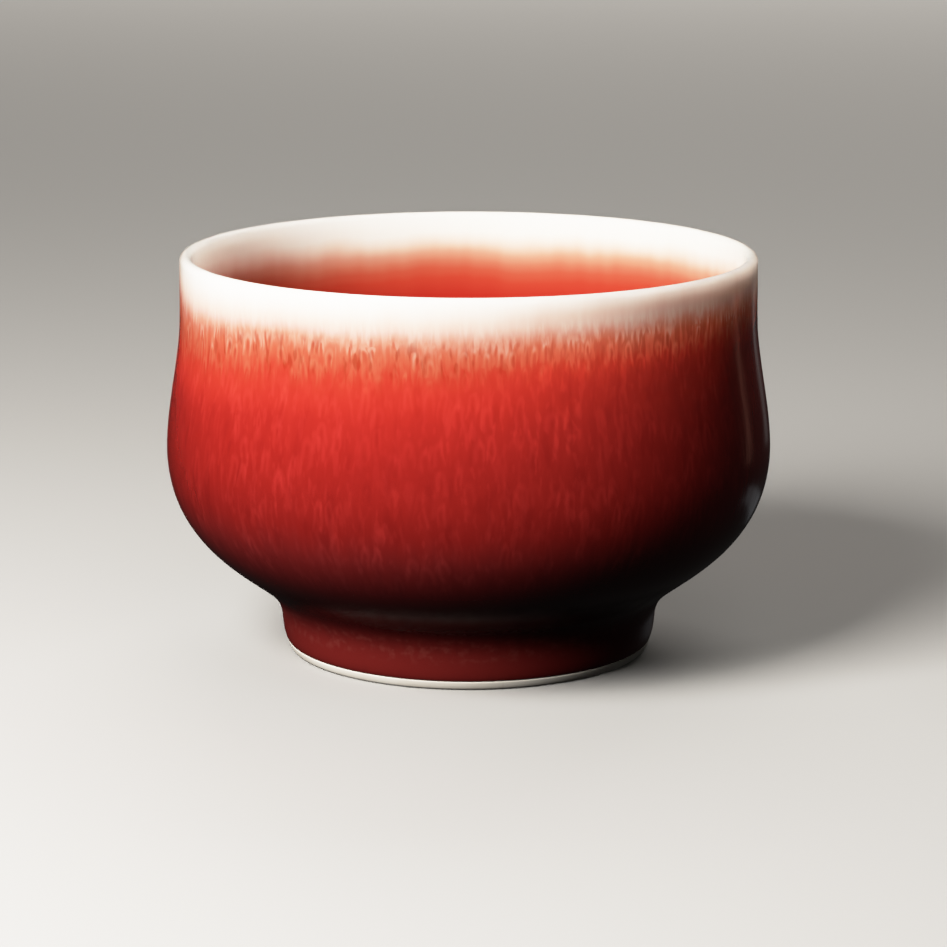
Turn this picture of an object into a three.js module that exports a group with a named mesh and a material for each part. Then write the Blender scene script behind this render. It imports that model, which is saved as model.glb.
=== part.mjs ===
// Porcelain tea cup without a handle: a thin turned bowl on a low foot ring,
// with a white lip, a red outer and inner coat of glaze and a glazed base
// recess. Millimetres, +Z up, origin on the axis at the foot ring's plane.
//
// The white body is one turned solid. Each coat of glaze is a closed shell of
// its own that follows the body's skin at an even distance.
import * as THREE from 'three';

// ---- driving dimensions (mm) ----
const HEIGHT = 55.7;            // foot plane to the top of the lip
const LIP_RADIUS = 39.0;        // centre line of the rounded lip
const LIP_ROUND = 0.8;          // half the thickness of the finished lip
const GLAZE = 0.40;             // thickness of every coat of glaze
const CLEAR = 0.08;             // clearance between body and glaze
const WHITE_BAND_OUT = 51.6;    // lower edge of the white lip coat, outside
const WHITE_BAND_IN = 50.2;     // lower edge of the white lip coat, inside
const FOOT_BARE = 1.3;          // height of the bare edge of the foot ring
const FOOT_FLAT_OUT = 24.9;     // outer radius of the flat that it stands on
const FOOT_FLAT_IN = 23.1;      // inner radius of that flat
const RECESS_RADIUS = 22.2;     // glazed recess under the base
const RECESS_DEPTH = 5.2;
const FLOOR_HEIGHT = 8.7;       // glazed floor of the bowl on the axis
const TURNS = 48;               // flats round the axis

// ---- finished skin of the cup, [radius, height] ----
// outside, from the bare edge of the foot up to the lip
const OUTSIDE = [
  [25.66, FOOT_BARE], [26.05, 2.7], [26.24, 4.3], [26.40, 5.5], [26.92, 6.95],
  [28.05, 8.45], [29.50, 9.7], [31.26, 11.0], [33.30, 12.5], [35.20, 14.05],
  [37.05, 15.85], [38.77, 18.0], [40.24, 20.5], [41.28, 23.3], [41.88, 26.4],
  [42.00, 29.3], [41.74, 32.8], [41.22, 36.5], [40.58, 40.5], [40.06, 44.5],
  [39.90, 48.0], [39.86, WHITE_BAND_OUT], [39.80, HEIGHT - LIP_ROUND],
];
// inside, from the lip down to the axis
const INSIDE = [
  [38.20, HEIGHT - LIP_ROUND], [38.06, 53.0], [38.02, WHITE_BAND_IN],
  [38.25, 43.5], [38.86, 38.2], [39.40, 33.0], [39.44, 28.2], [38.74, 23.9],
  [37.15, 20.0], [34.62, 16.6], [31.20, 13.85], [26.80, 11.65], [21.30, 10.1],
  [13.50, 9.15], [0, FLOOR_HEIGHT],
];
// foot recess, from the bare edge up the ring's inner wall and in to the axis
const RECESS = [
  [22.62, FOOT_BARE], [RECESS_RADIUS, 3.3], [21.60, 4.5], [20.0, 5.05],
  [0, RECESS_DEPTH],
];
// half circle over the lip, from outside to inside
const LIP_STEPS = 4;
const LIP = [];
for (let i = 1; i < LIP_STEPS; i++) {
  const a = (Math.PI * i) / LIP_STEPS;
  LIP.push([LIP_RADIUS + LIP_ROUND * Math.cos(a),
            HEIGHT - LIP_ROUND + LIP_ROUND * Math.sin(a)]);
}

// ---- helpers ----
// Points moved sideways from a profile by the distance d. The profile runs
// with the material on its left, so a positive d goes into the material.
function inset(profile, d) {
  return profile.map(([r, z], i) => {
    const a = profile[Math.max(0, i - 1)];
    const b = profile[Math.min(profile.length - 1, i + 1)];
    let tr = b[0] - a[0];
    let tz = b[1] - a[1];
    const len = Math.hypot(tr, tz);
    tr /= len;
    tz /= len;
    const out = [r - tz * d, z + tr * d];
    if (r === 0) return [0, z + Math.sign(tr) * d];
    return out;
  });
}

// a closed solid turned about +Z from an outline of [radius, height] points
function turned(outline) {
  const pts = outline.map(([r, z]) => new THREE.Vector2(r, z));
  if (outline[0][0] !== 0) pts.push(pts[0].clone());
  const g = new THREE.LatheGeometry(pts, TURNS);
  g.rotateX(Math.PI / 2);
  return g;
}

function part(name, outline, material) {
  const mesh = new THREE.Mesh(turned(outline), material);
  mesh.name = name;
  return mesh;
}

// ---- materials ----
const porcelain = new THREE.MeshStandardMaterial({
  color: 0xe6ddd0, roughness: 0.55, metalness: 0 });
const redOutside = new THREE.MeshStandardMaterial({
  color: 0xb0201c, roughness: 0.08, metalness: 0 });
const redInside = new THREE.MeshStandardMaterial({
  color: 0xd8503a, roughness: 0.08, metalness: 0 });
const whiteLip = new THREE.MeshStandardMaterial({
  color: 0xf1ebe0, roughness: 0.08, metalness: 0 });
const clearBase = new THREE.MeshStandardMaterial({
  color: 0xe9e6dc, roughness: 0.12, metalness: 0 });

// ---- the whole skin in one run, from outside foot over the lip to the floor
const skin = [...OUTSIDE, ...LIP, ...INSIDE];
const nOut = OUTSIDE.findIndex(([, z]) => z === WHITE_BAND_OUT);
const nIn = OUTSIDE.length + LIP.length
  + INSIDE.findIndex(([, z]) => z === WHITE_BAND_IN);
const glazeBack = inset(skin, GLAZE);           // back of the glaze coats
const bodyFace = inset(skin, GLAZE + CLEAR);    // face of the body under them
const recessBack = inset([...RECESS].reverse(), GLAZE);
const recessBody = inset([...RECESS].reverse(), GLAZE + CLEAR);

// a point between two points of the skin, so coats stop short of each other
function between(profile, i, j, gap) {
  const [a, b] = [profile[i], profile[j]];
  const len = Math.hypot(b[0] - a[0], b[1] - a[1]);
  const t = gap / len;
  return [a[0] + (b[0] - a[0]) * t, a[1] + (b[1] - a[1]) * t];
}
const JOIN = 0.05;              // half the clearance between two coats

// ---- porcelain body: bowl and foot ring turned in one ----
const body = [
  [0, recessBody[0][1]],
  ...recessBody.slice(1, -1),
  [22.62 + GLAZE + CLEAR, FOOT_BARE + CLEAR],
  [22.62, FOOT_BARE - 0.05],
  [22.72, 0.45],
  [FOOT_FLAT_IN, 0],
  [FOOT_FLAT_OUT, 0],
  [25.28, 0.35],
  [25.60, FOOT_BARE - 0.05],
  [bodyFace[0][0], FOOT_BARE + CLEAR],
  ...bodyFace.slice(1, -1),
  [0, bodyFace[bodyFace.length - 1][1]],
];

// ---- outer red coat, from the foot's bare edge to the white lip ----
const outerRed = [
  [OUTSIDE[0][0], FOOT_BARE + 0.12],
  ...skin.slice(1, nOut),
  between(skin, nOut, nOut - 1, JOIN),
  between(glazeBack, nOut, nOut - 1, JOIN),
  ...glazeBack.slice(1, nOut).reverse(),
  [glazeBack[0][0], FOOT_BARE + 0.18],
];

// ---- white coat over the lip ----
const whiteRim = [
  between(skin, nOut, nOut + 1, JOIN),
  ...skin.slice(nOut + 1, nIn),
  between(skin, nIn, nIn - 1, JOIN),
  between(glazeBack, nIn, nIn - 1, JOIN),
  ...glazeBack.slice(nOut + 1, nIn).reverse(),
  between(glazeBack, nOut, nOut + 1, JOIN),
];

// ---- inner red coat, from the white lip down to the floor ----
const innerRed = [
  [0, glazeBack[glazeBack.length - 1][1]],
  ...glazeBack.slice(nIn + 1, -1).reverse(),
  between(glazeBack, nIn, nIn + 1, JOIN),
  between(skin, nIn, nIn + 1, JOIN),
  ...skin.slice(nIn + 1),
];

// ---- clear coat inside the foot ring ----
const recessFace = [...RECESS].reverse();       // axis outwards, then down
const baseClear = [
  recessFace[0],
  ...recessFace.slice(1, -1),
  [22.62, FOOT_BARE + 0.12],
  [22.62 + GLAZE, FOOT_BARE + 0.18],
  ...recessBack.slice(1, -1).reverse(),
  [0, recessBack[0][1]],
];

const cup = new THREE.Group();
cup.add(part('porcelain_body', body, porcelain));
cup.add(part('outer_red_glaze', outerRed, redOutside));
cup.add(part('white_lip_glaze', whiteRim, whiteLip));
cup.add(part('inner_red_glaze', innerRed, redInside));
cup.add(part('base_clear_glaze', baseClear, clearBase));

export default cup;
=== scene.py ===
import math

import bpy
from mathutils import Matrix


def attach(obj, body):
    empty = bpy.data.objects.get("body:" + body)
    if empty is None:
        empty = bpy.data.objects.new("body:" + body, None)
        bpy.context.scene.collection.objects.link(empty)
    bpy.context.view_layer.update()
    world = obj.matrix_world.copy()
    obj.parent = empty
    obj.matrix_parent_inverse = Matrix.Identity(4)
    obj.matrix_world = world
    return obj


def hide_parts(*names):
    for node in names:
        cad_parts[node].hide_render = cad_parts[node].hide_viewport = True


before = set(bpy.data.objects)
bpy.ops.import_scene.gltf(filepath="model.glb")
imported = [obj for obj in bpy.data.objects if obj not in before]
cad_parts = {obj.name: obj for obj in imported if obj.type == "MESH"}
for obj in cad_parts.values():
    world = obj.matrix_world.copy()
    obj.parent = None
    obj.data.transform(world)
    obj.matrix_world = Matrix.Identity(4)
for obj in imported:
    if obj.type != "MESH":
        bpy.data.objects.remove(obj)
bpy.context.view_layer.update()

MM = 0.001
AROUND = 200                      # divisions round the axis

# ---------------------------------------------------------------------------
# Profiles of the finished skin, [radius, height] in millimetres.
# ---------------------------------------------------------------------------
HEIGHT = 55.7
LIP_RADIUS = 39.0
LIP_ROUND = 0.8
FOOT_BARE = 1.3
GLAZE = 0.40

OUTSIDE = [                       # foot edge up to the lip
    (25.66, FOOT_BARE), (26.05, 2.7), (26.24, 4.3), (26.40, 5.5),
    (26.92, 6.95), (28.05, 8.45), (29.50, 9.7), (31.26, 11.0),
    (33.30, 12.5), (35.20, 14.05), (37.05, 15.85), (38.77, 18.0),
    (40.24, 20.5), (41.28, 23.3), (41.88, 26.4), (42.00, 29.3),
    (41.74, 32.8), (41.22, 36.5), (40.58, 40.5), (40.06, 44.5),
    (39.90, 48.0), (39.86, 51.6), (39.80, HEIGHT - LIP_ROUND),
]
INSIDE = [                        # lip down to the floor on the axis
    (38.20, HEIGHT - LIP_ROUND), (38.06, 53.0), (38.02, 50.2),
    (38.25, 43.5), (38.86, 38.2), (39.40, 33.0), (39.44, 28.2),
    (38.74, 23.9), (37.15, 20.0), (34.62, 16.6), (31.20, 13.85),
    (26.80, 11.65), (21.30, 10.1), (13.50, 9.15), (0.0, 8.7),
]
RECESS = [                        # axis outwards, then down the foot's wall
    (0.0, 5.2), (10.0, 5.17), (17.0, 5.12), (20.0, 5.0), (21.55, 4.5),
    (22.2, 3.3), (22.62, FOOT_BARE),
]


def smooth(points, step):
    """A finer run through the points: Catmull-Rom with centripetal knots."""
    pts = [points[0]] + list(points) + [points[-1]]
    pts[0] = (2 * points[0][0] - points[1][0], 2 * points[0][1] - points[1][1])
    pts[-1] = (2 * points[-1][0] - points[-2][0], 2 * points[-1][1] - points[-2][1])
    if points[-1][0] == 0.0:      # level across the axis
        pts[-1] = (-points[-2][0], points[-2][1])
    if points[0][0] == 0.0:
        pts[0] = (-points[1][0], points[1][1])
    out = []
    for i in range(1, len(pts) - 2):
        p0, p1, p2, p3 = pts[i - 1:i + 3]
        t = [0.0]
        for a, b in ((p0, p1), (p1, p2), (p2, p3)):
            t.append(t[-1] + max(math.hypot(b[0] - a[0], b[1] - a[1]), 1e-6) ** 0.5)
        n = max(1, round(math.hypot(p2[0] - p1[0], p2[1] - p1[1]) / step))
        for k in range(n):
            u = t[1] + (t[2] - t[1]) * k / n
            q = []
            for c in (0, 1):
                a1 = (t[1] - u) / (t[1] - t[0]) * p0[c] + (u - t[0]) / (t[1] - t[0]) * p1[c]
                a2 = (t[2] - u) / (t[2] - t[1]) * p1[c] + (u - t[1]) / (t[2] - t[1]) * p2[c]
                a3 = (t[3] - u) / (t[3] - t[2]) * p2[c] + (u - t[2]) / (t[3] - t[2]) * p3[c]
                b1 = (t[2] - u) / (t[2] - t[0]) * a1 + (u - t[0]) / (t[2] - t[0]) * a2
                b2 = (t[3] - u) / (t[3] - t[1]) * a2 + (u - t[1]) / (t[3] - t[1]) * a3
                q.append((t[2] - u) / (t[2] - t[1]) * b1 + (u - t[1]) / (t[2] - t[1]) * b2)
            out.append((max(q[0], 0.0), q[1]))
    out.append(points[-1])
    return out


def inset(run, d):
    """The run moved by d into the material, which is on its left."""
    out = []
    for i, (r, z) in enumerate(run):
        a, b = run[max(0, i - 1)], run[min(len(run) - 1, i + 1)]
        tr, tz = b[0] - a[0], b[1] - a[1]
        n = math.hypot(tr, tz)
        tr, tz = tr / n, tz / n
        if r <= 0.0:
            out.append((0.0, z + (d if tr > 0 else -d)))
        else:
            out.append((r - tz * d, z + tr * d))
    return out


outside = smooth(OUTSIDE, 0.8)
lip = [(LIP_RADIUS + LIP_ROUND * math.cos(math.pi * i / 14),
        HEIGHT - LIP_ROUND + LIP_ROUND * math.sin(math.pi * i / 14))
       for i in range(1, 14)]
inside = smooth(INSIDE, 1.1)
skin = outside + lip + inside
recess = smooth(RECESS, 0.9)


def arc(run):
    s = [0.0]
    for a, b in zip(run, run[1:]):
        s.append(s[-1] + math.hypot(b[0] - a[0], b[1] - a[1]))
    return s


skin_arc = arc(skin)
crest = skin_arc[len(outside) + 6]       # arc position of the top of the lip


# ---------------------------------------------------------------------------
# Turned meshes. Every point carries "fall", the distance in millimetres run
# down from the lip's crest (outside positive, inside negative), "rim", how far
# it lies past the edge of the white band, and "ring", a seam-free position on
# a plain cylinder for the glaze's grain.
# ---------------------------------------------------------------------------
def band(a, outer):
    """Depth of the white band at angle a, mm: it sags on one side, and the
    red climbs into it in a tongue and in a low, wide swell."""
    w = 0.16 * math.cos(5 * a + 0.4) + 0.12 * math.cos(8 * a + 2.2) + 0.08 * math.cos(13 * a + 1.1)
    if outer:
        tongue = math.degrees(math.remainder(a - math.radians(183), 2 * math.pi)) / 9.0
        swell = math.degrees(math.remainder(a - math.radians(297), 2 * math.pi)) / 14.0
        return (6.45 - 0.9 * math.cos(a) + w - 2.3 * math.exp(-tongue * tongue)
                - 0.55 * math.exp(-swell * swell))
    return 6.7 - 0.45 * math.cos(a) + w


def past_band(a, fall):
    """Distance past the band's edge, mm. The fringe is shorter where the band
    is narrow."""
    d = abs(fall) - band(a, fall >= 0)
    return d * (1.12 + 0.28 * math.cos(a)) if d > 0 and fall >= 0 else d


def turn(name, outline, falls, closed_on_axis):
    """A closed solid of revolution as a smooth quad mesh."""
    verts, faces, index, fall_v, rim_v, ring_v = [], [], [], [], [], []
    for i, (r, z) in enumerate(outline):
        if r <= 1e-9:
            index.append([len(verts)] * AROUND)
            verts.append((0.0, 0.0, z * MM))
            fall_v.append(falls[i])
            rim_v.append(abs(falls[i]) - 6.6)
            ring_v.append((0.0, 0.0, falls[i]))
            continue
        row = []
        for k in range(AROUND):
            a = 2 * math.pi * k / AROUND
            row.append(len(verts))
            verts.append((r * math.cos(a) * MM, r * math.sin(a) * MM, z * MM))
            fall_v.append(falls[i])
            rim_v.append(past_band(a, falls[i]))
            ring_v.append((40.0 * math.cos(a), 40.0 * math.sin(a), falls[i]))
        index.append(row)
    n = len(outline)
    steps = n - 1 if closed_on_axis else n
    lengths = arc(list(outline) + ([] if closed_on_axis else [outline[0]]))
    total = lengths[-1]
    uvs = []
    for i in range(steps):
        j = (i + 1) % n
        v0, v1 = lengths[i] / total, lengths[i + 1] / total
        for k in range(AROUND):
            m = (k + 1) % AROUND
            u0, u1 = k / AROUND, (k + 1) / AROUND
            a, b, c, d = index[i][k], index[i][m], index[j][m], index[j][k]
            if a == b:
                faces.append((a, c, d)); uvs += [((u0 + u1) / 2, v0), (u1, v1), (u0, v1)]
            elif c == d:
                faces.append((a, b, c)); uvs += [(u0, v0), (u1, v0), ((u0 + u1) / 2, v1)]
            else:
                faces.append((a, b, c, d)); uvs += [(u0, v0), (u1, v0), (u1, v1), (u0, v1)]
    me = bpy.data.meshes.new(name)
    me.from_pydata(verts, [], faces)
    me.update()
    me.polygons.foreach_set("use_smooth", [True] * len(me.polygons))
    layer = me.uv_layers.new(name="OFBake")
    layer.data.foreach_set("uv", [c for uv in uvs for c in uv])
    at = me.attributes.new("fall", "FLOAT", "POINT")
    at.data.foreach_set("value", fall_v)
    at = me.attributes.new("rim", "FLOAT", "POINT")
    at.data.foreach_set("value", rim_v)
    at = me.attributes.new("ring", "FLOAT_VECTOR", "POINT")
    at.data.foreach_set("vector", [c for v in ring_v for c in v])
    ob = bpy.data.objects.new(name, me)
    bpy.context.scene.collection.objects.link(ob)
    return ob


def signed_fall(i):
    """Positive down the outside, negative down the inside."""
    return crest - skin_arc[i]


# glaze: the whole skin in one fused coat, closed by its own back
skin_fall = [signed_fall(i) for i in range(len(skin))]
back = inset(skin, GLAZE)
coat_line = [(0.0, back[-1][1])] + back[-2:0:-1]
coat_fall = [skin_fall[-1]] + skin_fall[-2:0:-1]
coat_line.append((back[0][0], FOOT_BARE + 0.20)); coat_fall.append(skin_fall[0])
edge = [(back[0][0] + 0.12, FOOT_BARE + 0.03), (25.68 - 0.08, FOOT_BARE + 0.05),
        (25.68, FOOT_BARE + 0.16)]
coat_line += edge; coat_fall += [skin_fall[0]] * 3
coat_line += skin[1:]; coat_fall += skin_fall[1:]
coat = turn("glaze_coat", coat_line, coat_fall, True)
coat.shadow_terminator_geometry_offset = 0.6   # grazing light under the belly

# clear glaze inside the foot ring
rb = inset(recess, GLAZE)
base_line = recess[:-1] + [(22.60, FOOT_BARE + 0.16), (22.72, FOOT_BARE + 0.03),
                           (22.92, FOOT_BARE + 0.10)] + rb[-2:0:-1] + [(0.0, rb[0][1])]
base_glaze = turn("base_glaze", base_line, [70.0] * len(base_line), True)

# porcelain: foot ring and the body under the glaze
face = inset(skin, GLAZE + 0.08)
rface = inset(recess, GLAZE + 0.08)
body_line = ([(0.0, rface[0][1])] + rface[1:-1]
             + [(23.06, FOOT_BARE + 0.09), (22.96, FOOT_BARE - 0.02), (22.66, FOOT_BARE - 0.07),
                (22.64, FOOT_BARE - 0.25), (22.70, 0.55), (22.80, 0.22), (22.93, 0.06),
                (23.15, 0.0), (23.6, 0.0), (24.0, 0.0), (24.4, 0.0), (24.75, 0.0),
                (24.98, 0.05), (25.16, 0.17), (25.30, 0.38), (25.46, 0.72),
                (25.58, FOOT_BARE - 0.20), (25.60, FOOT_BARE - 0.08),
                (25.50, FOOT_BARE - 0.03), (25.30, FOOT_BARE - 0.02),
                (face[0][0] - 0.02, FOOT_BARE + 0.06)]
             + face[1:-1] + [(0.0, face[-1][1])])
porcelain = turn("porcelain", body_line, [70.0] * len(body_line), True)


# ---------------------------------------------------------------------------
# Materials
# ---------------------------------------------------------------------------
class Net:
    """Short hands for building a node tree."""

    def __init__(self, name):
        self.mat = bpy.data.materials.new(name)
        self.mat.use_nodes = True
        self.nt = self.mat.node_tree
        self.nt.nodes.clear()
        self.out = self.nt.nodes.new("ShaderNodeOutputMaterial")
        self.bsdf = self.nt.nodes.new("ShaderNodeBsdfPrincipled")
        self.nt.links.new(self.bsdf.outputs[0], self.out.inputs[0])

    def put(self, socket, value):
        if isinstance(value, bpy.types.NodeSocket):
            self.nt.links.new(value, socket)
        else:
            socket.default_value = value

    def attr(self, name, output):
        n = self.nt.nodes.new("ShaderNodeAttribute")
        n.attribute_type = "GEOMETRY"
        n.attribute_name = name
        return n.outputs[output]

    def math(self, op, a, b=0.0, c=0.0, clamp=False):
        n = self.nt.nodes.new("ShaderNodeMath")
        n.operation = op
        n.use_clamp = clamp
        for s, v in zip(n.inputs, (a, b, c)):
            self.put(s, v)
        return n.outputs[0]

    def vmath(self, op, a, b=(0, 0, 0)):
        n = self.nt.nodes.new("ShaderNodeVectorMath")
        n.operation = op
        self.put(n.inputs[0], a)
        self.put(n.inputs[1], b)
        return n.outputs[0]

    def times(self, *factors):
        out = factors[0]
        for f in factors[1:]:
            out = self.math("MULTIPLY", out, f)
        return out

    def pack(self, x, y, z=0.0):
        n = self.nt.nodes.new("ShaderNodeCombineXYZ")
        for s, v in zip(n.inputs, (x, y, z)):
            self.put(s, v)
        return n.outputs[0]

    def xyz(self, v):
        n = self.nt.nodes.new("ShaderNodeSeparateXYZ")
        self.put(n.inputs[0], v)
        return n.outputs

    def noise(self, v, scale=1.0, detail=2.0, rough=0.5, distort=0.0):
        n = self.nt.nodes.new("ShaderNodeTexNoise")
        self.put(n.inputs["Vector"], v)
        n.inputs["Scale"].default_value = scale
        n.inputs["Detail"].default_value = detail
        n.inputs["Roughness"].default_value = rough
        n.inputs["Distortion"].default_value = distort
        return n.outputs[0]

    def cells(self, v, feature="F1", randomness=1.0, dims="3D"):
        n = self.nt.nodes.new("ShaderNodeTexVoronoi")
        n.voronoi_dimensions = dims
        n.feature = feature
        self.put(n.inputs["Vector"], v)
        n.inputs["Scale"].default_value = 1.0
        n.inputs["Randomness"].default_value = randomness
        return n.outputs

    def step(self, x, lo, hi, a=0.0, b=1.0):
        """Smooth step of x from lo to hi, a to b."""
        n = self.nt.nodes.new("ShaderNodeMapRange")
        n.interpolation_type = "SMOOTHSTEP"
        self.put(n.inputs[0], x)
        for s, v in zip(list(n.inputs)[1:5], (lo, hi, a, b)):
            self.put(s, v)
        return n.outputs[0]

    def ramp(self, x, stops, lo, hi):
        """Colour by x in real units; stops are (x, (r, g, b))."""
        t = self.nt.nodes.new("ShaderNodeMapRange")
        self.put(t.inputs[0], x)
        for s, v in zip(list(t.inputs)[1:5], (lo, hi, 0.0, 1.0)):
            s.default_value = v
        n = self.nt.nodes.new("ShaderNodeValToRGB")
        n.color_ramp.interpolation = "LINEAR"
        el = n.color_ramp.elements
        while len(el) > 1:
            el.remove(el[0])
        first = True
        for pos, col in stops:
            p = (pos - lo) / (hi - lo)
            e = el[0] if first else el.new(p)
            e.position = p
            e.color = (*col, 1.0)
            first = False
        self.nt.links.new(t.outputs[0], n.inputs[0])
        return n.outputs[0]

    def mix(self, f, a, b, how="MIX"):
        n = self.nt.nodes.new("ShaderNodeMix")
        n.data_type = "RGBA"
        n.blend_type = how
        self.put(n.inputs[0], f)
        for s, v in ((n.inputs[6], a), (n.inputs[7], b)):
            if isinstance(v, tuple):
                v = (*v, 1.0)
            self.put(s, v)
        return n.outputs[2]

    def bump(self, h, strength, distance):
        n = self.nt.nodes.new("ShaderNodeBump")
        n.inputs["Strength"].default_value = strength
        n.inputs["Distance"].default_value = distance
        self.put(n.inputs["Height"], h)
        self.nt.links.new(n.outputs[0], self.bsdf.inputs["Normal"])


# Colour by distance past the edge of the white band, mm
FADE_OUT = [
    (-6.0, (0.86, 0.815, 0.745)), (-4.9, (0.835, 0.745, 0.665)), (-3.4, (0.775, 0.600, 0.515)),
    (-2.6, (0.74, 0.510, 0.425)), (-1.85, (0.68, 0.410, 0.345)), (-1.1, (0.610, 0.308, 0.248)),
    (-0.3, (0.540, 0.208, 0.152)), (0.47, (0.485, 0.140, 0.088)), (1.24, (0.452, 0.101, 0.055)),
    (2.0, (0.434, 0.080, 0.0425)), (2.8, (0.420, 0.067, 0.0347)), (3.6, (0.410, 0.0505, 0.0265)),
    (4.3, (0.398, 0.0375, 0.0205)), (5.1, (0.386, 0.0300, 0.0172)), (5.9, (0.374, 0.0258, 0.0158)),
    (7.4, (0.358, 0.0222, 0.0148)), (10.0, (0.345, 0.0205, 0.0142)),
]
# Colour by distance down from the lip, mm
BODY = [
    (12.0, (0.340, 0.0208, 0.0140)), (14.0, (0.328, 0.0190, 0.0130)), (17.0, (0.264, 0.0143, 0.0107)),
    (21.5, (0.212, 0.0106, 0.0083)), (27.0, (0.186, 0.0089, 0.0071)), (31.5, (0.160, 0.0077, 0.0065)),
    (36.0, (0.121, 0.0086, 0.0084)), (42.0, (0.080, 0.0068, 0.0072)), (47.0, (0.047, 0.0042, 0.0044)),
    (51.0, (0.042, 0.0036, 0.0036)), (54.0, (0.079, 0.0070, 0.0066)), (57.0, (0.120, 0.0106, 0.0093)),
    (60.0, (0.123, 0.0107, 0.0093)), (62.0, (0.106, 0.0092, 0.0085)),
]
# The same on the inner wall
FADE_IN = [
    (-6.0, (0.86, 0.82, 0.75)), (-3.2, (0.84, 0.77, 0.68)), (-1.8, (0.78, 0.590, 0.480)),
    (-1.0, (0.71, 0.430, 0.330)), (0.0, (0.630, 0.275, 0.190)), (1.3, (0.560, 0.160, 0.095)),
    (2.5, (0.520, 0.088, 0.0475)), (4.0, (0.488, 0.050, 0.0265)), (6.5, (0.420, 0.027, 0.0165)),
    (12.0, (0.345, 0.0190, 0.0145)), (25.0, (0.235, 0.0115, 0.0092)), (42.0, (0.135, 0.0064, 0.0054)),
    (60.0, (0.100, 0.0050, 0.0044)),
]


def arches(m, u, v, wide, tall, half, leg, seed, keep):
    """Hairpin outlines left by burst bubbles: a rounded top and two legs run
    down by the melt. Gives the outline and the pocket under its crown."""
    cu = m.math("ADD", m.math("DIVIDE", u, wide), seed)
    cv = m.math("ADD", m.math("DIVIDE", v, tall), seed * 1.7)
    at = m.pack(cu, cv)
    cell = m.cells(at, "F1", 0.85, "2D")
    rim = m.cells(at, "DISTANCE_TO_EDGE", 0.85, "2D")[0]
    px, py, _ = m.xyz(cell["Position"])
    r1, r2, r3 = m.xyz(cell["Color"])
    du = m.math("MULTIPLY", m.math("SUBTRACT", cu, px), wide)
    dv = m.math("MULTIPLY", m.math("SUBTRACT", cv, py), tall)
    down = m.math("MAXIMUM", dv, 0.0)
    reach = m.math("MULTIPLY", m.math("MULTIPLY_ADD", r2, 0.6, 0.7), half)
    reach = m.math("MULTIPLY", reach, m.math("MULTIPLY_ADD", down, 0.20, 1.0))
    x = m.math("DIVIDE", m.math("ADD", du, m.math("MULTIPLY", down, m.math("MULTIPLY_ADD", r3, 0.30, -0.15))), reach)
    y = m.math("DIVIDE", m.math("MINIMUM", dv, 0.0), half * 2.2)
    rho = m.math("SQRT", m.math("ADD", m.math("MULTIPLY", x, x), m.math("MULTIPLY", y, y)))
    line = m.step(m.math("ABSOLUTE", m.math("SUBTRACT", rho, 1.0)), 0.0, 0.90, 1.0, 0.0)
    end = m.math("MULTIPLY", m.math("MULTIPLY_ADD", r3, 0.8, 0.5), leg)
    legs = m.step(down, m.math("MULTIPLY", end, 0.3), end, 1.0, 0.0)
    shown = m.step(r1, keep, keep + 0.15)
    inside_cell = m.step(rim, 0.0, 0.10)
    line = m.times(line, legs, shown, inside_cell)
    slot = m.math("SQRT", m.math("ADD", m.math("MULTIPLY", x, x), m.math("MULTIPLY", m.math("MULTIPLY", y, y), 0.6)))
    pocket = m.times(m.step(slot, 0.12, 0.62, 1.0, 0.0), m.step(down, 0.3, half * 3.6, 1.0, 0.0), shown)
    return line, pocket


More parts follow.
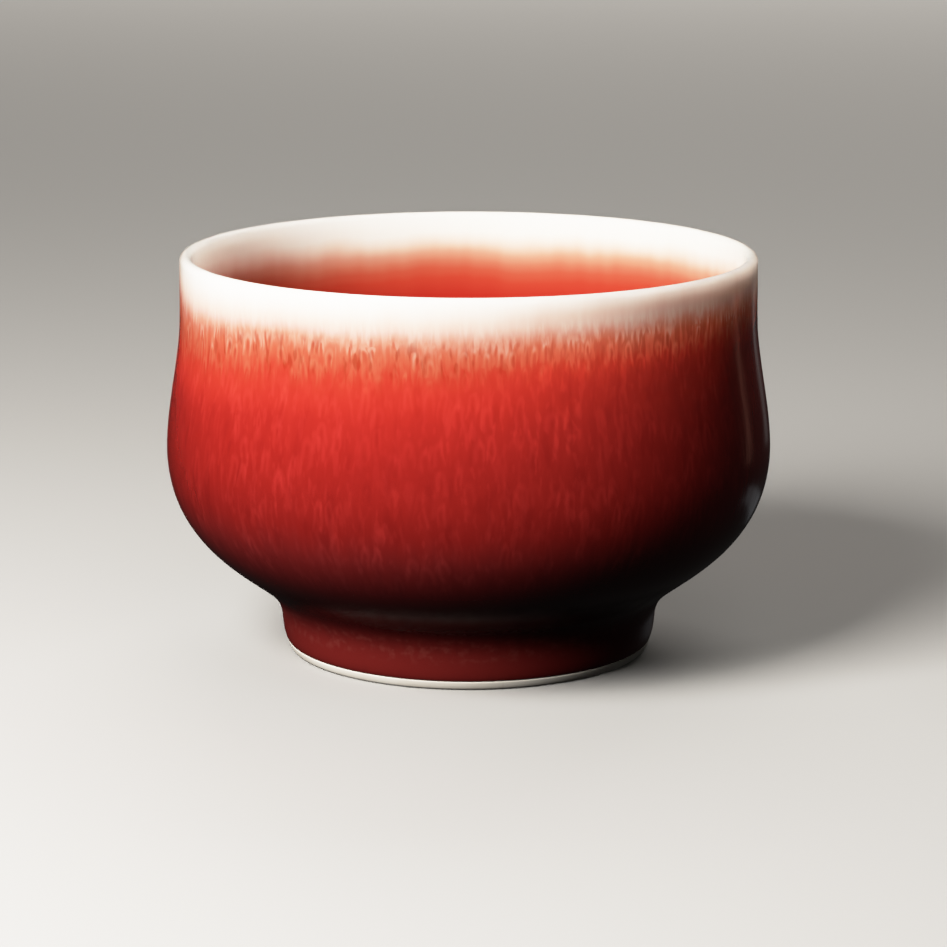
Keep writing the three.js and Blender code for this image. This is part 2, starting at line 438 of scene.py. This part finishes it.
def glaze_material():
    m = Net("copper_red_glaze")
    ring = m.attr("ring", "Vector")
    fall = m.attr("fall", "Fac")
    rim = m.attr("rim", "Fac")
    rx, ry, rz = m.xyz(ring)

    def grain(across, down, detail=1.0, shift=(0.0, 0.0, 0.0), rough=0.5):
        v = m.vmath("MULTIPLY", ring, (across, across, down))
        if any(shift):
            v = m.vmath("ADD", v, shift)
        return m.noise(v, 1.0, detail, rough)

    def centred(n, k):
        return m.math("MULTIPLY", m.math("SUBTRACT", n, 0.5), k)

    # place on the wall unrolled: u round it, v down it, gently swayed
    sway = grain(0.30, 0.22, 1.0, (4.0, 2.0, 7.0))
    u = m.math("MULTIPLY", m.math("ARCTAN2", rx, m.math("MULTIPLY", ry, -1.0)), 40.0)
    off_seam = m.step(m.math("ABSOLUTE", u), 40 * math.pi - 2.5, 40 * math.pi - 1.0, 1.0, 0.0)
    us = m.math("ADD", u, centred(sway, 1.4))

    # runs drawn down by the melt: pale strands and redder gaps between them
    runs = grain(1.1, 0.24, 1.0)
    fine = grain(1.65, 0.36, 1.0, (5.0, 1.0, 9.0))
    slow = grain(0.22, 0.03, 1.0, (1.0, 6.0, 2.0))
    broad = grain(0.55, 0.07, 2.0)
    pale = m.math("MAXIMUM", m.step(runs, 0.48, 0.66), m.times(m.step(fine, 0.52, 0.68), 0.8))
    gap = m.math("MAXIMUM", m.step(runs, 0.45, 0.32), m.times(m.step(fine, 0.44, 0.32), 0.7))

    ticks = m.step(grain(1.25, 0.36, 1.0, (9.0, 4.0, 2.0)), 0.455, 0.32)

    # fringe of the white band
    hair = m.times(m.step(rim, -4.0, -1.6), m.step(rim, 4.0, 9.5, 1.0, 0.0))
    swing = m.times(hair, m.step(rim, -2.5, 4.0, 0.30, 1.15))
    loop_a, pocket_a = arches(m, us, rz, 1.50, 3.5, 0.38, 2.9, 0.0, 0.44)
    loop_b, pocket_b = arches(m, us, rz, 1.90, 4.4, 0.46, 3.6, 31.7, 0.50)
    rows = m.times(m.step(rim, -2.4, -0.6), m.step(rim, 3.2, 8.5, 1.0, 0.0), off_seam)
    loops = m.times(m.math("MAXIMUM", loop_a, loop_b), rows)
    pockets = m.times(m.math("MAXIMUM", pocket_a, pocket_b), rows, m.step(rim, -1.4, 0.8),
                      m.step(rim, 1.5, 4.5, 1.0, 0.25), m.step(rx, 2.0, 24.0, 1.0, 0.4))
    x = m.math("ADD", rim, centred(slow, 1.3))
    x = m.math("ADD", x, m.times(centred(grain(1.2, 0.28, 1.0, (8.0, 3.0, 5.0)), 0.72), m.step(rim, -3.0, 3.0, 0.6, 1.4)))
    x = m.math("ADD", x, m.times(m.math("SUBTRACT", 0.36, pale), swing))
    x = m.math("ADD", x, m.times(gap, swing, 0.35))
    lit = m.math("MAXIMUM", m.math("SUBTRACT", x, m.times(loops, 1.05)), m.math("MINIMUM", x, -0.3))
    x = m.math("ADD", lit, m.times(pockets, 0.9))
    fade = m.ramp(x, FADE_OUT, -6.0, 10.0)
    body = m.ramp(m.math("ADD", fall, centred(broad, 3.0)), BODY, 12.0, 64.0)
    c = m.mix(m.step(rim, 6.0, 10.0), fade, body)
    dark = m.times(ticks, m.step(rim, -2.0, 1.0), m.step(rim, 2.2, 6.5, 1.0, 0.0),
                   m.step(rx, -38.5, -31.0, 0.25, 0.95), m.step(rx, -10.0, 22.0, 1.0, 0.25))
    c = m.mix(dark, c, m.mix(1.0, c, (0.66, 0.56, 0.50), "MULTIPLY"))
    c = m.mix(m.times(pockets, 0.42), c, (0.29, 0.055, 0.028))
    # painted light: one side of the fringe is made lighter, as if more light fell there; the fine pale strands there
    # are the glaze's own and are lightened most
    low = m.math("MULTIPLY_ADD", m.math("MAXIMUM", m.math("SUBTRACT", rx, 26.0), 0.0), 0.45, fall)
    side = m.times(m.step(rx, -4.0, 24.0), m.step(rx, 31.0, 37.0, 1.0, 0.0), m.step(fall, 2.5, 4.5),
                   m.step(low, 7.5, 14.0, 1.0, 0.0))
    strand = m.times(m.math("MAXIMUM", pale, loops), m.step(rim, -1.6, 1.2, 0.15, 1.0))
    # painted light: a lighter copy of the colour, laid on that side of the fringe
    painted_light_paler = m.mix(1.0, m.mix(1.0, c, (2.0, 1.95, 1.95), "MULTIPLY"), (0.88, 0.84, 0.76), "DARKEN")
    c = m.mix(m.times(side, m.math("MULTIPLY_ADD", strand, 0.38, 0.38)), c, painted_light_paler)

    # hare's fur over the belly: soft short streaks, some of them loops
    fur_a = grain(0.95, 0.30, 1.0, (2.0, 7.0, 3.0))
    fur_b = grain(0.65, 0.17, 1.0, (11.0, 5.0, 3.0))
    fur_c = grain(1.4, 0.46, 1.0, (6.0, 12.0, 1.0))
    patch = grain(0.15, 0.10, 1.0)
    some = m.step(patch, 0.34, 0.62, 0.5, 1.0)
    fur_zone = m.times(m.step(rim, 2.5, 6.0), m.step(fall, 35.0, 46.0, 1.0, 0.0))
    big, _ = arches(m, us, rz, 2.0, 5.0, 0.50, 3.6, 67.3, 0.40)
    light = m.math("ADD", m.times(m.step(fur_a, 0.52, 0.70), 0.70), m.times(m.step(fur_b, 0.54, 0.74), 0.30))
    light = m.math("ADD", light, m.times(m.step(fur_c, 0.57, 0.74), 0.6))
    light = m.math("ADD", light, m.times(big, off_seam, 0.75))
    light = m.times(light, some, fur_zone)
    deep = m.times(m.step(fur_b, 0.46, 0.30), fur_zone)
    c = m.mix(m.times(deep, 0.24), c, m.mix(1.0, c, (0.62, 0.50, 0.55), "MULTIPLY"))
    lifted = m.mix(1.0, m.mix(1.0, c, (1.50, 1.48, 1.48), "MULTIPLY"), (0.0, 0.0038, 0.0036), "ADD")
    c = m.mix(m.times(light, 0.50), c, lifted)

    # the foot: a mottled patch over a darker line where the glaze pools
    mott = m.noise(m.vmath("MULTIPLY", ring, (0.55, 0.55, 0.85)), 1.0, 2.0, 0.55)
    foot = m.times(m.step(mott, 0.46, 0.72), m.step(fall, 54.0, 55.6), m.step(fall, 57.4, 59.0, 1.0, 0.0))
    c = m.mix(m.times(foot, 0.40), c, (0.175, 0.034, 0.028))
    c = m.mix(m.step(fall, 60.4, 61.3, 0.0, 0.5), c, (0.075, 0.0050, 0.0045))

    # inside: an even, unstreaked fade
    soft = grain(0.085, 0.13, 2.0)
    xi = m.math("ADD", m.math("ADD", rim, centred(soft, 1.8)), centred(grain(0.5, 0.05, 0.0, (3.0, 3.0, 3.0)), 0.5))
    inner = m.ramp(xi, FADE_IN, -6.0, 60.0)
    c = m.mix(m.step(fall, -0.3, 0.3), inner, c)

    m.put(m.bsdf.inputs["Base Color"], c)
    neck = m.step(m.math("ABSOLUTE", m.math("SUBTRACT", fall, 49.5)), 2.5, 6.0, 1.0, 0.0)
    neck = m.math("MAXIMUM", neck, m.step(fall, 48.0, 51.0, 0.0, 0.9))
    duller = m.math("ADD", m.times(neck, 0.08), m.step(fall, 52.0, 54.5, 0.0, 0.10))
    m.put(m.bsdf.inputs["Roughness"], m.math("ADD", m.step(broad, 0.3, 0.7, 0.13, 0.19), duller))
    m.bsdf.inputs["IOR"].default_value = 1.52
    m.put(m.bsdf.inputs["Specular IOR Level"], m.math("MULTIPLY_ADD", neck, -0.38, 0.5))
    # light passes the pale band, most of all at the lip; the red passes little
    m.bsdf.subsurface_method = "BURLEY"
    outer = m.step(fall, -0.3, 0.3)
    thin = m.times(outer, m.step(rx, 30.5, 37.5, 1.0, 0.0))
    reach = m.math("ADD", m.math("MULTIPLY_ADD", outer, 6.0, 5.5), m.math("MULTIPLY", thin, 14.0))
    through = m.step(m.math("DIVIDE", m.math("ADD", rim, 3.0), reach), 0.0, 1.0, 1.0, 0.0)
    m.put(m.bsdf.inputs["Subsurface Weight"], through)
    m.put(m.bsdf.inputs["Subsurface Radius"], m.mix(outer, (1.0, 1.0, 0.96), (1.0, 0.92, 0.86)))
    lip_zone = m.step(fall, 0.6, 2.7, 1.0, 0.0)
    scale = m.math("MULTIPLY_ADD", lip_zone, 0.0034, 0.0030)
    m.put(m.bsdf.inputs["Subsurface Scale"],
          m.math("ADD", scale, m.math("MULTIPLY", thin, m.step(rim, -1.0, 6.0, 0.0014, 0.0018))))
    waves = m.math("ADD", m.math("MULTIPLY", broad, 0.7), m.math("MULTIPLY", runs, 0.3))
    m.bump(m.times(waves, m.math("SUBTRACT", 1.0, neck)), 0.08, 0.0003)
    return m.mat


def base_material():
    m = Net("clear_glaze")
    tc = m.nt.nodes.new("ShaderNodeTexCoord")
    pos = tc.outputs["Object"]
    n = m.noise(pos, 160.0, 4.0, 0.6)
    c = m.ramp(n, [(0.0, (0.74, 0.76, 0.70)), (0.5, (0.80, 0.80, 0.75)), (1.0, (0.86, 0.84, 0.79))], 0.0, 1.0)
    specks = m.step(m.noise(pos, 1500.0, 1.0, 0.5), 0.78, 0.84)
    c = m.mix(m.math("MULTIPLY", specks, 0.4), c, (0.30, 0.26, 0.20))
    m.put(m.bsdf.inputs["Base Color"], c)
    m.put(m.bsdf.inputs["Roughness"], m.step(n, 0.3, 0.7, 0.07, 0.12))
    m.bsdf.inputs["IOR"].default_value = 1.5
    m.bump(n, 0.06, 0.0003)
    return m.mat


def bare_material():
    m = Net("bare_porcelain")
    tc = m.nt.nodes.new("ShaderNodeTexCoord")
    pos = tc.outputs["Object"]
    n = m.noise(pos, 900.0, 5.0, 0.65)
    w = m.noise(pos, 110.0, 3.0, 0.5)
    c = m.ramp(w, [(0.0, (0.66, 0.58, 0.49)), (0.5, (0.76, 0.71, 0.63)), (1.0, (0.82, 0.78, 0.71))], 0.0, 1.0)
    c = m.mix(m.step(n, 0.62, 0.74, 0.0, 0.25), c, (0.52, 0.43, 0.34))
    m.put(m.bsdf.inputs["Base Color"], c)
    m.put(m.bsdf.inputs["Roughness"], m.step(n, 0.3, 0.7, 0.42, 0.58))
    m.bump(n, 0.25, 0.00006)
    return m.mat


for ob, mat, slot, nodes in (
        (coat, glaze_material(), "outer_red", ("outer_red_glaze", "white_lip_glaze", "inner_red_glaze")),
        (base_glaze, base_material(), "base_clear", ("base_clear_glaze",)),
        (porcelain, bare_material(), "porcelain", ("porcelain_body",))):
    ob.data.materials.append(mat)
    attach(ob, "root")
    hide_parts(*nodes)

# ---------------------------------------------------------------------------
# Floor, light and camera
# ---------------------------------------------------------------------------
me = bpy.data.meshes.new("floor")
me.from_pydata([(-4, -4, 0), (4, -4, 0), (4, 4, 0), (-4, 4, 0)], [], [(0, 1, 2, 3)])
floor = bpy.data.objects.new("floor", me)
bpy.context.scene.collection.objects.link(floor)
fm = bpy.data.materials.new("floor")
fm.use_nodes = True
fb = fm.node_tree.nodes["Principled BSDF"]
fb.inputs["Base Color"].default_value = (0.42, 0.41, 0.395, 1)
fb.inputs["Roughness"].default_value = 0.9
fb.inputs["Specular IOR Level"].default_value = 0.2
floor.data.materials.append(fm)
floor.visible_diffuse = False
floor.visible_glossy = False
floor.visible_shadow = False

world = bpy.context.scene.world or bpy.data.worlds.new("world")
bpy.context.scene.world = world
world.use_nodes = True
bg = world.node_tree.nodes["Background"]
bg.inputs[0].default_value = (0.86, 0.84, 0.80, 1)
bg.inputs[1].default_value = 0.014


def area(name, az, el, dist, size, power, color=(1, 1, 1), glossy=True):
    """Soft light at azimuth az (0 is the camera's side, negative is left)."""
    d = bpy.data.lights.new(name, "AREA")
    d.shape = "SQUARE"
    d.size = size
    d.energy = power
    d.color = color
    o = bpy.data.objects.new(name, d)
    a, e = math.radians(az), math.radians(el)
    o.location = (math.sin(a) * math.cos(e) * dist, -math.cos(a) * math.cos(e) * dist,
                  0.03 + math.sin(e) * dist)
    import mathutils
    o.rotation_euler = (mathutils.Vector((0, 0, 0.03)) - o.location).to_track_quat("-Z", "Y").to_euler()
    bpy.context.scene.collection.objects.link(o)
    o.visible_glossy = glossy
    o.visible_camera = False
    return o


area("key", -42, 35.7, 0.40, 0.20, 4.60, (1.0, 0.975, 0.94), glossy=False)
area("fill_front", 25, 58, 1.0, 0.50, 0.9, (1.0, 0.97, 0.93), glossy=False)
area("fill_back", 172, 30, 2.4, 1.9, 52.0, (1.0, 0.97, 0.93), glossy=False)

def strip(name, az, dist, width, low, high, power, color):
    """Upright narrow soft light between two elevations, seen only as a
    reflection in the glaze."""
    d = bpy.data.lights.new(name, "AREA")
    d.shape = "RECTANGLE"
    lo, hi = (0.03 + dist * math.tan(math.radians(e)) for e in (low, high))
    d.size, d.size_y = width, hi - lo
    d.energy = power
    d.color = color
    o = bpy.data.objects.new(name, d)
    a = math.radians(az)
    o.location = (math.sin(a) * dist, -math.cos(a) * dist, (lo + hi) / 2)
    o.rotation_euler = (math.radians(90), 0, a)
    bpy.context.scene.collection.objects.link(o)
    o.visible_diffuse = False
    o.visible_camera = False
    return o


strip("strip_warm", 129, 0.9, 0.05, -10.5, 25, 0.027, (1.0, 0.42, 0.30))
strip("strip_cool", 154, 0.9, 0.08, -10.5, 25, 0.023, (0.96, 0.94, 0.92))
strip("card_low", 147, 0.9, 0.40, -21, -17, 0.010, (0.92, 0.95, 1.0))

cam = bpy.data.cameras.new("camera")
cam.sensor_width = 36.0
cam.lens = 3325.1 / 947 * 36.0
cam.shift_x = 4.9 / 947
cam.clip_start = 0.01
cam.clip_end = 20
co = bpy.data.objects.new("camera", cam)
co.location = (0, -0.45478, 0.12543)
co.rotation_euler = (math.radians(90) - 0.2189, 0, 0)
bpy.context.scene.collection.objects.link(co)
bpy.context.scene.camera = co
bpy.context.scene.view_settings.view_transform = "Standard"
bpy.context.scene.view_settings.look = "None"
# a soft shoulder, as film has, so that bright glaze keeps its colour
view = bpy.context.scene.view_settings
view.use_curve_mapping = True
tone = view.curve_mapping
SPAN = 3.2                        # scene brightness that prints as full white
tone.white_level = (SPAN, SPAN, SPAN)
tone.extend = "HORIZONTAL"
shoulder = [(0.0, 0.0), (0.25, 0.25), (0.5, 0.5)]
shoulder += [(x, 0.5 + 0.5 * (1 - math.exp(-(x - 0.5) / 0.5))) for x in (0.65, 0.8, 1.0, 1.25, 1.6, 2.0, 2.5)]
shoulder.append((SPAN, 1.0))
curve = tone.curves[3]
for i, (x, y) in enumerate(shoulder):
    if i == 0:
        curve.points[0].location = (x / SPAN, y)
    elif i == len(shoulder) - 1:
        curve.points[-1].location = (x / SPAN, y)
    else:
        curve.points.new(x / SPAN, y)
for q in curve.points:
    q.handle_type = "AUTO"
curve.points[0].handle_type = "VECTOR"
tone.update()
